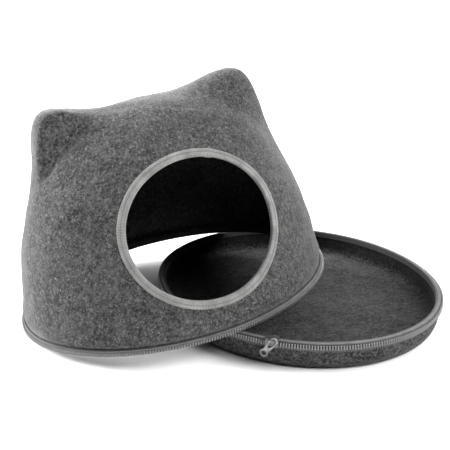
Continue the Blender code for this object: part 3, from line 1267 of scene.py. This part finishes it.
@dataclass(frozen=True)
class Door:
    """The round door: the cut through the felt, and the tape bound round its edge.

    The tape's section is in mm. Its rows in front and behind run from the margin outside the cut and
    the height over the felt; the rows in the cut, from the share of the way through and how far in.
    """

    form: CoverForm
    x: float = -0.9 * MM
    z: float = 119.8 * MM
    lean: float = math.radians(9.7)
    turn: float = math.radians(9.0)
    half_wide: float = 92.0 * MM
    half_high: float = 80.3 * MM
    reach: float = 90.0 * MM
    columns: int = 320
    front_rows: Path = (
        (7.8, 0.05), (7.8, 0.15), (6.0, 0.35), (4.2, 0.15), (3.8, 0.15), (2.0, 0.35), (0.8, 0.3),
    )
    cut_rows: Path = ((0.02, 0.15), (0.2, 0.45), (0.5, 0.6), (0.8, 0.45), (0.98, 0.15))
    back_rows: Path = ((0.8, 0.3), (4.0, 0.3), (8.5, 0.2))
    tape_thick: float = 0.8 * MM
    lap_at: float = math.radians(58.0)
    lap_long: float = 11.0 * MM
    lap_step: float = 0.75 * MM
    stitch_in: float = 4.0 * MM
    stitch_up: float = 0.95 * MM
    stitch_pitch: float = 3.4 * MM
    stitch_size: tuple[float, float] = (2.3 * MM, 0.42 * MM)

    def pose(self) -> Matrix:
        """Find the frame in the door's middle.

        Returns:
            The frame, with X across, Y up and Z out through the door.
        """
        form, rise = self.form, self.z / self.form.crown
        front = 1.0 - form.narrow[1] * rise**form.narrow_power
        front *= math.sqrt(1.0 - rise ** form.rounding[1]) * -form.oval.short
        return (
            form.pose()
            @ Matrix.Translation((self.x, front + form.crown_at[1] * rise, self.z))
            @ Matrix.Rotation(math.pi / 2.0 - self.lean, 4, "X")
            @ Matrix.Rotation(self.turn, 4, "Z")
        )

    def cutter(self) -> bpy.types.Object:
        """Make the oval cylinder that cuts the door.

        Returns:
            The cylinder, in place.
        """
        deselect()
        bpy.ops.mesh.primitive_cylinder_add(vertices=self.columns // 2, radius=1.0, depth=2.0 * self.reach)
        made = bpy.context.object
        made.data.transform(self.pose() @ Matrix.Diagonal((self.half_wide, self.half_high, 1.0, 1.0)))
        return made

    def oval_points(self, angles: Array, grow: float) -> Array:
        """Points of the cut's oval on the plane of the door's middle.

        Args:
            angles: angles round the door.
            grow: how much larger the oval is than the cut.

        Returns:
            One point for each angle.
        """
        across, up = (self.half_wide + grow) * np.cos(angles), (self.half_high + grow) * np.sin(angles)
        return moved(np.stack([across, up, np.zeros_like(angles)], -1), self.pose())

    def on_face(self, tree: BVHTree, angles: Array, grow: float) -> tuple[Array, Array]:
        """Where lines along the door's axis meet a face.

        Args:
            tree: the face to meet.
            angles: angles round the door.
            grow: the margin outside the cut.

        Returns:
            Points and unit normals that point out of the cover, both evened out along the door.
        """
        out = Vector(np.array(self.pose())[:3, 2])
        hits = [tree.ray_cast(Vector(p) + out * self.reach, -out) for p in self.oval_points(angles, grow)]
        places = np.array([h[0] for h in hits])
        normals = np.array([h[1] if h[1].dot(out) > 0.0 else -h[1] for h in hits])
        for _ in range(6):
            normals = (np.roll(normals, 1, axis=0) + 2.0 * normals + np.roll(normals, -1, axis=0)) / 4.0
            places = places * 0.5 + (np.roll(places, 1, axis=0) + np.roll(places, -1, axis=0)) * 0.25
        return places, normals / np.linalg.norm(normals, axis=1, keepdims=True)

    def lap(self, angles: Array, run: Array) -> Array:
        """How far the tape stands up where its end laps over its start.

        Args:
            angles: angles round the door.
            run: how far along the tape each is.

        Returns:
            The height at each angle.
        """
        past = run - np.interp(self.lap_at, angles, run)
        up = np.clip(past / (0.8 * MM), 0.0, 1.0) * np.clip((self.lap_long - past) / (6.0 * MM), 0.0, 1.0)
        return self.lap_step * np.where(past < self.lap_long, up, 0.0)

    def binding(self, outer: BVHTree, inner: BVHTree, material: bpy.types.Material) -> None:
        """The tape from its outer edge, round the felt's cut, to its inner edge.

        Args:
            outer: the felt's outer face.
            inner: its inner face.
            material: the tape.
        """
        angles = even_turn(self.columns)
        cut_front, cut_back = self.on_face(outer, angles, 0.0)[0], self.on_face(inner, angles, 0.0)[0]
        run = np.concatenate([[0.0], np.cumsum(np.linalg.norm(np.diff(cut_front, axis=0), axis=1))])
        lap = self.lap(angles, run)[:, None]
        inward = self.oval_points(angles, -1.0 * MM) - self.oval_points(angles, 0.0)
        inward /= np.linalg.norm(inward, axis=1, keepdims=True)
        rows = []
        for margin, height in self.front_rows:
            spot, normal = self.on_face(outer, angles, margin * MM)
            rows.append(spot + normal * (height * MM + lap))
        for share, push in self.cut_rows:
            rows.append(cut_front * (1.0 - share) + cut_back * share + inward * (push * MM + lap))
        for margin, height in self.back_rows:
            spot, normal = self.on_face(inner, angles, margin * MM)
            rows.append(spot - normal * (height * MM + lap))
        made = ring_sheet("door_tape", np.array(rows))
        thicken(made, self.tape_thick, 1.0)
        curve = made.modifiers.new("softened", "SUBSURF")
        curve.levels = curve.render_levels = 1
        apply_modifiers(made)
        finish_piece(made, Finish.BINDING, material, "door_binding")

    def stitches(self, outer: BVHTree, master: bpy.types.Object, material: bpy.types.Material) -> None:
        """The row of stitches that holds the tape.

        Args:
            outer: the felt's outer face.
            master: one stitch.
            material: the thread.
        """
        curve, _ = self.on_face(outer, even_turn(4 * self.columns), self.stitch_in)
        angles = even_azimuths(curve, round(closed_length(curve) / self.stitch_pitch))
        spots, normals = self.on_face(outer, angles, self.stitch_in)
        ahead = np.roll(spots, -1, axis=0) - np.roll(spots, 1, axis=0)
        frames = frames_along(spots + normals * self.stitch_up, ahead, normals)
        made = repeated("door_stitches", master, frames)
        finish_piece(made, Finish.BINDING, material)


@dataclass(frozen=True)
class Cover:
    """The moulded felt cover with its ears, door, hem and half of the zip.

    `crowding` draws the mesh's columns together towards the ears, `inside` is the painted shade of the inner
    skin, the share of its colour left for the shade inside the cover, and `bulge_at` and `dented_from` are
    shares of the way up the face.
    """

    form: CoverForm = field(default_factory=CoverForm)
    columns: int = 352
    crowding: float = 0.30
    band_rows: int = 8
    wall_rows: int = 96
    # Painted shade: the inner skin keeps this share of the felt's colour, for the shade inside the cover.
    inside: float = 0.4
    furrow: float = 1.2 * MM
    furrow_at: float = 9.3 * MM
    furrow_wide: float = 1.3 * MM
    bulge: float = 1.3 * MM
    bulge_at: float = 0.018
    dented_from: float = 0.06
    dents: Dents = Dents(11, 0.9 * MM, 95.0 * MM)
    ripple: Dents = Dents(23, 0.28 * MM, 26.0 * MM)

    def face(self) -> Array:
        """Lay out the outer face.

        Returns:
            Rows of points from the hem's edge to just below the crown.
        """
        spread = even_turn(self.columns)[None, :]
        azimuth = spread - self.crowding * np.sin(2.0 * spread)
        deep = np.linspace(0.0, self.form.band, self.band_rows + 1)[:-1, None]
        pinch = -self.furrow * np.exp(-(((deep - self.furrow_at) / self.furrow_wide) ** 2))
        part = np.linspace(0.0, 1.0, self.wall_rows + 1)[:-1, None]
        points = np.concatenate([self.form.hem(azimuth, pinch, deep), self.form.wall(azimuth, part)])
        level = np.concatenate([np.full(self.band_rows, -1.0), part[:, 0]])[:, None]
        swell = self.bulge * np.exp(-(((level - self.bulge_at) / self.bulge_at) ** 2)) * (level >= 0.0)
        ease = np.clip(level / self.dented_from, 0.0, 1.0)
        proud = (self.dents.at(points) + self.ripple.at(points)) * ease + swell
        return points + grid_normals(points) * proud[..., None]

    def shell(self, door: Door, material: bpy.types.Material) -> tuple[BVHTree, BVHTree]:
        """The felt itself, with the door cut through it.

        Args:
            door: the door to cut.
            material: the felt.

        Returns:
            The outer and the inner face before the cut, for fitting the door's tape.
        """
        made = ring_sheet("cover_shell", self.face())
        make_active(made)
        close_ring(made, max(made.data.vertices, key=lambda v: v.index).co.copy(), 60.0 * MM)
        outer = BVHTree.FromObject(made, bpy.context.evaluated_depsgraph_get())
        inside = [v.co - v.normal * FELT for v in made.data.vertices]
        inner = BVHTree.FromPolygons(inside, [tuple(p.vertices) for p in made.data.polygons])
        thicken(made, FELT, -1.0)
        # Painted shade: full colour on the outer skin, darkened on the inner skin for the shade inside.
        set_shade(made, np.where(np.arange(len(made.data.vertices)) < len(inside), 1.0, self.inside))
        combine(made, door.cutter(), "DIFFERENCE")
        smooth_by_angle(made, 40.0)
        finish_piece(made, Finish.FELT, material, "cover_felt")
        return outer, inner

    def build(self, finishes: dict[str, bpy.types.Material], parts: ZipParts) -> None:
        """Build the felt, the door's tape and stitches, and what is sewn along the hem.

        Args:
            finishes: the materials by name.
            parts: the zip's small pieces.
        """
        door = Door(self.form)
        outer, inner = self.shell(door, finishes["felt"])
        door.binding(outer, inner, finishes["door_tape"])
        door.stitches(outer, parts.stitch(*door.stitch_size), finishes["thread"])
        SewnEdge(
            "cover", "hem", self.form.hem, turned=True, tape_path=HEM_TAPE_PATH, tooth_deep=2.9 * MM,
            teeth_down=True, stitch=(2.4 * MM, 0.45 * MM), seam=(3.4 * MM, 1.9 * MM, 6.4 * MM),
            thread="dark_thread",
        ).sew(finishes, parts)


# ---------------------------------------------------------------- the tray


@dataclass(frozen=True)
class Tray:
    """The shallow felt tray with its binding and half of the zip.

    The wall's section runs from the floor to the rim, in mm out from the rim's oval and up. The inner
    skin has painted shade for the shade inside the tray: its colour goes from `floor_shade` on the floor to
    the darker `wall_shade` on the inner wall, over the foot of the wall, and the outer skin keeps its
    colour.
    The floor's unevenness starts and ends within the heights in `dented`.
    """

    form: TrayForm = field(default_factory=TrayForm)
    columns: int = 288
    wall: Path = (
        (-13.0, 0.0), (-9.5, 0.15), (-6.4, 1.6), (-3.6, 4.6), (-1.6, 9.0), (-0.4, 14.0), (0.0, 19.0),
        (0.0, 23.0), (0.0, 25.0), (0.0, 27.0), (0.0, 30.0), (0.0, 34.0),
    )
    floor_rings: int = 26
    # Painted shade: shares of the felt's colour left on the inner floor and the inner wall.
    floor_shade: float = 0.53
    wall_shade: float = 0.17
    foot: float = 0.8 * MM
    foot_long: float = 7.0 * MM
    dented: tuple[float, float] = (3.0 * MM, 20.0 * MM)
    dented_over: tuple[float, float] = (1.5 * MM, 8.0 * MM)
    level_from: float = 0.3
    dents: Dents = Dents(31, 0.55 * MM, 70.0 * MM)

    def shell(self, material: bpy.types.Material) -> None:
        """The felt of the floor and wall, with painted shade: darker on its floor, darkest inside its wall.

        Args:
            material: the felt.
        """
        out, up = path_columns(rounded_path(self.wall, 1))
        wall = self.form.at(even_turn(self.columns)[None, :], out, up)
        share = (np.arange(1, self.floor_rings) / self.floor_rings)[:, None, None]
        made = ring_sheet("tray_shell", np.concatenate([wall[0][None] * share, wall]))
        close_ring(made, Vector(), 30.0 * MM)
        outer = len(made.data.vertices)
        thicken(made, FELT, -1.0)
        places = np.array([v.co for v in made.data.vertices])
        height = places[:, 2]
        # Painted shade: the inner skin darkens from the floor's share to the wall's share up the foot of the
        # wall.
        climb = np.clip((height - FELT - self.foot) / self.foot_long, 0.0, 1.0)
        within = self.floor_shade + (self.wall_shade - self.floor_shade) * climb
        set_shade(made, np.where(np.arange(len(places)) < outer, 1.0, within))
        ease = np.clip((height - self.dented[0]) / self.dented_over[0], 0.0, 1.0)
        ease *= np.clip((self.dented[1] - height) / self.dented_over[1], 0.0, 1.0)
        for vert, lift in zip(made.data.vertices, self.dents.at(places) * ease):
            if vert.normal.z > self.level_from:
                vert.co.z += float(lift)
        smooth_by_angle(made, 40.0)
        finish_piece(made, Finish.FELT, material, "tray_felt")

    def build(self, finishes: dict[str, bpy.types.Material], parts: ZipParts) -> None:
        """Build the felt and what is sewn along the rim.

        Args:
            finishes: the materials by name.
            parts: the zip's small pieces.
        """
        self.shell(finishes["tray_felt"])
        SewnEdge(
            "tray", "rim", self.form.edge, turned=False, tape_path=RIM_TAPE_PATH, tooth_deep=3.0 * MM,
            teeth_down=False, stitch=(1.9 * MM, 0.5 * MM), seam=(3.2 * MM, 0.25 * MM, 9.9 * MM),
            thread="thread",
        ).sew(finishes, parts)


# ---------------------------------------------------------------- the slider


@dataclass(frozen=True)
class Slider:
    """The cast slider on the tray's teeth, and its pull with a wide eye and a ring end.

    Its frame stands on the rim, with X along it, Y outward and Z up. The outlines of the pull and its
    slot are in mm, one side of each.
    """

    tray: TrayForm
    azimuth: float = math.radians(-102.6)
    long: float = 16.0 * MM
    low: float = -6.9 * MM
    high: float = 6.8 * MM
    inner: float = 0.2 * MM
    outer: float = 5.3 * MM
    plate: float = 1.1 * MM
    taper: float = 0.24
    back_taper: float = 0.10
    crowned_from: float = 3.0 * MM
    crowned: float = 0.5 * MM
    way_in: float = -3.0 * MM
    teeth_up: Span = (-5.8 * MM, 3.2 * MM)
    tape_out: float = 2.5 * MM
    tape_up: Span = (-9.0 * MM, -5.0 * MM)
    arch_radius: float = 4.2 * MM
    arch_wire: float = 0.95 * MM
    arch_level: float = 3.8 * MM
    arch_shape: tuple[float, float, float] = (1.55, 0.86, 1.2)
    arch_sunk: float = 0.3 * MM
    eye_centre: tuple[float, float, float] = (-4.4 * MM, 8.2 * MM, 3.0 * MM)
    aim: tuple[float, float, float] = (13.1, -2.5, -18.0)
    pull_thick: float = 1.4 * MM
    ring_at: float = 22.2 * MM
    ring_hole: float = 3.1 * MM
    shank: Path = ((-4.2, 0.0), (-3.9, 2.0), (-2.6, 3.6), (0.0, 4.4), (5.0, 4.4), (10.0, 4.0))
    ring: Path = ((-6.2, 3.6), (-3.2, 4.0), (0.0, 5.1), (2.8, 4.3), (4.6, 2.4), (5.1, 0.0))
    slot: Path = ((-2.7, 0.0), (-2.4, 1.7), (0.0, 2.7), (5.0, 2.7), (9.4, 2.0), (11.8, 1.0), (12.2, 0.0))
    through: float = 8.0 * MM
    smooth_angle: float = 35.0

    def frame(self) -> Matrix:
        """Find where the slider stands on the rim.

        Returns:
            Its frame.
        """
        edge, outward = self.tray.oval.edge(np.array([self.azimuth]))
        up, out = Vector((0.0, 0.0, 1.0)), Vector(outward[0])
        turned = Matrix((out.cross(up), out, up)).transposed().to_4x4()
        return Matrix.Translation(Vector(edge[0]) + up * self.tray.rim) @ turned

    @staticmethod
    def box(long: float, out: Span, up: Span) -> bpy.types.Object:
        """A box in the rim's frame, from its length and its limits outward and upward."""
        return add_block((long, out[1] - out[0], up[1] - up[0]), (0.0, sum(out) / 2.0, sum(up) / 2.0))

    def body(self, material: bpy.types.Material) -> None:
        """The slider's body: a casting round the teeth, tapered at its closing end, with an arch on it.

        Args:
            material: its metal.
        """
        made = self.box(self.long, (self.inner, self.outer), (self.low, self.high))
        made.name = "slider_body"
        subdivide(made, 3)
        middle = (self.low + self.high) / 2.0
        for vert in made.data.vertices:
            share = vert.co.x / (0.5 * self.long)
            narrow = 1.0 - self.taper * max(0.0, share) ** 2 - self.back_taper * max(0.0, -share) ** 3
            if vert.co.z > middle:
                vert.co.z = middle + (vert.co.z - middle) * narrow
            if vert.co.y > self.crowned_from:
                vert.co.y -= self.crowned * abs(share) ** 3
        bevel(made, 0.55 * MM, 3)
        for out, up in ((self.outer - self.plate, self.teeth_up), (self.tape_out, self.tape_up)):
            combine(made, self.box(2.0 * self.long, (self.way_in, out), up), "DIFFERENCE")
        combine(made, self.arch(), "UNION")
        made.data.transform(self.frame())
        smooth_by_angle(made, self.smooth_angle)
        finish_piece(made, Finish.METAL, material, "zip_slider")

    def arch(self) -> bpy.types.Object:
        """Model the half ring on the body that holds the pull.

        Returns:
            The half ring, in the slider's frame.
        """
        deselect()
        bpy.ops.mesh.primitive_torus_add(
            major_radius=self.arch_radius, minor_radius=self.arch_wire, major_segments=40, minor_segments=12
        )
        made = bpy.context.object
        made.data.transform(Matrix.Diagonal((*self.arch_shape, 1.0)))
        made.data.transform(Matrix.Translation((0.0, self.outer - self.arch_sunk, self.arch_level)))
        wide = 20.0 * MM
        half = self.box(4.0 * self.arch_radius, (-wide, self.outer - 2.0 * self.arch_sunk), (-wide, wide))
        combine(made, half, "DIFFERENCE")
        return made

    def pull(self, material: bpy.types.Material) -> None:
        """The pull: a wide eye that narrows to a flat neck, and a ring end.

        Args:
            material: its metal.
        """
        end = [(x + self.ring_at / MM, y) for x, y in self.ring]
        made = self.plate_from([*self.shank, *end], self.pull_thick)
        made.name = "slider_pull"
        combine(made, self.plate_from(self.slot, self.through), "DIFFERENCE")
        deselect()
        bpy.ops.mesh.primitive_cylinder_add(vertices=40, radius=self.ring_hole, depth=self.through)
        hole = bpy.context.object
        hole.data.transform(Matrix.Translation((self.ring_at, 0.0, 0.0)))
        combine(made, hole, "DIFFERENCE")
        bevel(made, 0.38 * MM, 3)
        aim = Vector(self.aim).normalized()
        side = Vector((0.0, 1.0, 0.0)).cross(aim).normalized()
        turned = Matrix((aim, side, aim.cross(side))).transposed().to_4x4()
        made.data.transform(self.frame() @ Matrix.Translation(self.eye_centre) @ turned)
        smooth_by_angle(made, self.smooth_angle)
        finish_piece(made, Finish.METAL, material, "zip_pull")

    @staticmethod
    def plate_from(sides: Path, thick: float) -> bpy.types.Object:
        """A flat plate, centred on its own plane.

        Args:
            sides: one side of its outline in mm, which is rounded off and mirrored across its length.
            thick: its thickness.

        Returns:
            The plate.
        """
        half = rounded_path(sides, 2)
        outline = half + [(x, -y) for x, y in reversed(half[1:-1])]
        deselect()
        bpy.ops.mesh.primitive_circle_add(vertices=len(outline), radius=1.0, fill_type="NGON")
        made = bpy.context.object
        for vert, (x, y) in zip(made.data.vertices, outline):
            vert.co = (x * MM, y * MM, -thick / 2.0)
        bpy.ops.object.mode_set(mode="EDIT")
        bpy.ops.mesh.select_all(action="SELECT")
        bpy.ops.mesh.extrude_region_move(TRANSFORM_OT_translate={"value": (0.0, 0.0, thick)})
        bpy.ops.mesh.select_all(action="SELECT")
        bpy.ops.mesh.normals_make_consistent(inside=False)
        bpy.ops.object.mode_set(mode="OBJECT")
        return made


# ---------------------------------------------------------------- the studio


@dataclass(frozen=True)
class Sun:
    """A soft light from far away.

    Its azimuth runs from +X towards +Y, and with its elevation and spread it is in degrees.
    """

    name: str
    azimuth: float
    elevation: float
    spread: float
    power: float

    def add(self) -> None:
        """Put the light in the scene."""
        data = bpy.data.lights.new(self.name, "SUN")
        data.angle = math.radians(self.spread)
        data.energy = self.power
        made = bpy.data.objects.new(self.name, data)
        a, e = math.radians(self.azimuth), math.radians(self.elevation)
        towards = Vector((math.cos(a) * math.cos(e), math.sin(a) * math.cos(e), math.sin(e)))
        made.rotation_euler = towards.to_track_quat("Z", "Y").to_euler()
        bpy.context.scene.collection.objects.link(made)


@dataclass(frozen=True)
class Studio:
    """A pale floor, soft light and the camera, whose place is in halves of the oval's long axis."""

    unit: float = Oval.long
    elevation: float = math.radians(18.783)
    distance: float = 5.1807
    aside: float = -0.46926
    above: float = 0.5252
    lens: float = 64.0
    floor_wide: float = 24.0
    floor_level: float = -0.2 * MM
    ambient: float = 0.05
    glow: float = 0.5
    behind: tuple[float, float, float] = (-0.24, 0.90, 0.36)
    suns: tuple[Sun, ...] = (
        Sun("left", 162.0, 26.0, 32.0, 10.8),
        Sun("above", 125.0, 52.0, 30.0, 1.2),
        Sun("crown", 30.0, 64.0, 40.0, 1.8),
        Sun("behind", 90.0, 12.0, 40.0, 4.2),
        Sun("right", -12.0, 34.0, 36.0, 4.0),
        Sun("front", -45.0, 50.0, 30.0, 1.1),
    )

    def camera(self) -> None:
        """Make the scene's camera."""
        data = bpy.data.cameras.new("camera")
        data.lens = self.lens
        data.sensor_width = 36.0
        data.clip_start = 0.05
        data.clip_end = 60.0
        made = bpy.data.objects.new("camera", data)
        away, up = math.cos(self.elevation), math.sin(self.elevation)
        pose = Matrix(((1.0, 0.0, 0.0), (0.0, up, away), (0.0, -away, up))).transposed().to_4x4()
        place = Vector((self.aside, -self.distance * away, self.distance * up + self.above)) * self.unit
        made.matrix_world = Matrix.Translation(place) @ pose
        bpy.context.scene.collection.objects.link(made)
        bpy.context.scene.camera = made

    def floor(self) -> None:
        """A wide pale floor."""
        deselect()
        bpy.ops.mesh.primitive_plane_add(size=self.floor_wide, location=(0.0, 0.0, self.floor_level))
        made = bpy.context.object
        made.name = "floor"
        made.data.materials.append(FloorFinish("studio_floor").build())

    def surroundings(self) -> None:
        """White surroundings that light the object mostly from behind."""
        world = bpy.data.worlds.new("studio")
        world.use_nodes = True
        w = Nodes(world.node_tree)
        way = w.node("ShaderNodeTexCoord", out="Generated")
        sockets = {0: way, 1: self.behind}
        behind = w.node("ShaderNodeVectorMath", {"operation": "DOT_PRODUCT"}, sockets, "Value")
        light = behind.step(-0.15, 0.9) * self.glow + self.ambient
        seen = w.node("ShaderNodeLightPath", out="Is Camera Ray")
        w.set(world.node_tree.nodes["Background"].inputs["Strength"], light + seen * (1.0 - light))
        w.set(world.node_tree.nodes["Background"].inputs["Color"], (1.0, 1.0, 1.0))
        bpy.context.scene.world = world

    def lights(self) -> None:
        """A strong soft light on the left, and weaker ones above, behind, on the right and in front."""
        self.surroundings()
        for sun in self.suns:
            sun.add()
        bpy.context.scene.view_settings.view_transform = "Standard"
        bpy.context.scene.view_settings.look = "None"


def cave_finishes() -> dict[str, bpy.types.Material]:
    """Make the cave's materials.

    Returns:
        Each material, by the name that the cave's parts know it by.
    """
    finishes = {
        "felt": FeltFinish("cover_felt_wool"),
        "tray_felt": FeltFinish(
            "tray_felt_wool", (0.0115, 0.0112, 0.0112), (0.068, 0.067, 0.066), (0.175, 0.172, 0.169),
            sheen=0.1, streak=(0.17, 0.95, 0.95),
        ),
        "door_tape": TapeFinish("door_tape_weave", stitch_at=4.1 * MM),
        # The bindings' and zip tapes' darker bands are painted shade, and the hem tape's groove has a
        # painted shadow.
        "edge_tape": TapeFinish(
            "edge_tape_weave", (0.035, 0.0338, 0.0335), (0.13, 0.1265, 0.1255), painted_shade_from=10.2 * MM
        ),
        "rim_zip_tape": TapeFinish(
            "rim_tape_weave", (0.032, 0.0308, 0.0304), (0.096, 0.0932, 0.0916), painted_shade_from=5.0 * MM
        ),
        "hem_zip_tape": TapeFinish(
            "hem_tape_weave", (0.045, 0.0435, 0.043), (0.16, 0.156, 0.154), painted_shade_from=6.4 * MM,
            groove=1.5 * MM,
        ),
        "thread": ThreadFinish("thread"),
        "dark_thread": ThreadFinish("dark_thread", (0.045, 0.044, 0.044)),
        "teeth": ToothFinish("tooth_plastic"),
        # One plated metal in two tones: the slider's darker copy is painted shade, the pull's lighter copy
        # painted light.
        "metal": MetalFinish("slider_metal_shaded", (0.13, 0.128, 0.125)),
        "pull_metal_lit": MetalFinish("pull_metal_lit", (0.25, 0.247, 0.242)),
    }
    return {name: finish.build() for name, finish in finishes.items()}


def main() -> None:
    """Make the camera, build the pieces in order, then the floor and the lights."""
    logging.basicConfig(level=logging.INFO, format="%(name)s: %(message)s")
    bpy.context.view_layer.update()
    studio = Studio()
    studio.camera()
    finishes, parts = cave_finishes(), ZipParts()
    cover, tray = Cover(), Tray()
    cover.build(finishes, parts)
    tray.build(finishes, parts)
    slider = Slider(tray.form)
    slider.body(finishes["metal"])
    slider.pull(finishes["pull_metal_lit"])
    studio.floor()
    studio.lights()


if __name__ == "__main__":
    main()
